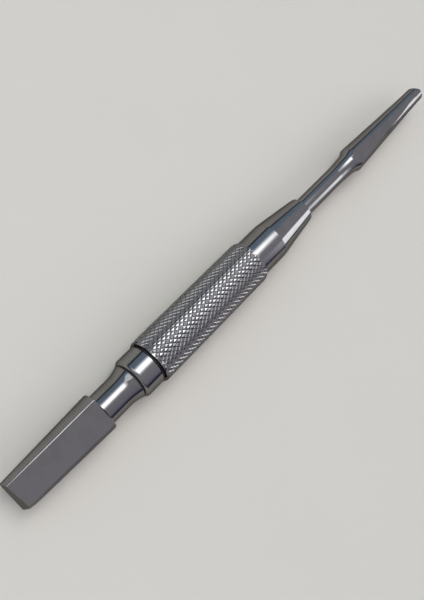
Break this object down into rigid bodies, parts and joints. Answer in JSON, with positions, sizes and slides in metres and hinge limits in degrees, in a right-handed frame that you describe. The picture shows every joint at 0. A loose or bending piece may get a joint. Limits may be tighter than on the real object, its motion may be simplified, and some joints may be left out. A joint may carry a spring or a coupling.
{
  "type": "cuticle pusher",
  "caption": "Double-ended metal cuticle pusher: knurled round grip, wide flat blade at one end and a slim tapered pusher at the other, each screwed in.",
  "frame": {"origin": "middle of the tool's length, on the axis of the grip", "axes": "+X along the tool from the wide blade to the slim tip, +Z square to the wide blade's flats"},
  "size_m": [0.133, 0.01, 0.01],
  "materials": {
    "blade_steel": "polished",
    "collar_steel": "polished",
    "grip_steel": "knurled and polished",
    "core_steel": "turned",
    "seal_rubber": "matt black"
  },
  "bodies": {
    "handle": {"core_tube": "core_steel", "rear_collar": "collar_steel", "grip_spacer_ring": "seal_rubber", "knurled_grip": "grip_steel", "front_nose": "collar_steel"},
    "blade_seal": {"blade_seal_ring": "seal_rubber"},
    "blade": {"wide_blade": "blade_steel"},
    "tip_seal": {"tip_seal_ring": "seal_rubber"},
    "pusher": {"slim_pusher": "blade_steel"}
  },
  "joints": [
    {"name": "blade_travel", "type": "slide", "parent": "handle", "child": "blade_seal", "axis": [-1, 0, 0], "range_m": [0, 0.007]},
    {"name": "blade_turn", "type": "hinge", "parent": "blade_seal", "child": "blade", "pos_m": [-0.0369, 0, 0], "axis": [-1, 0, 0], "range_deg": [0, 3605]},
    {"name": "pusher_travel", "type": "slide", "parent": "handle", "child": "tip_seal", "axis": [1, 0, 0], "range_m": [0, 0.006]},
    {"name": "pusher_turn", "type": "hinge", "parent": "tip_seal", "child": "pusher", "pos_m": [0.0185, 0, 0], "axis": [1, 0, 0], "range_deg": [0, 3605]}
  ],
  "couplings": [
    {"joint": "blade_turn", "follows": "blade_travel", "rad_per_m": 8976},
    {"joint": "pusher_turn", "follows": "pusher_travel", "rad_per_m": 10472}
  ]
}
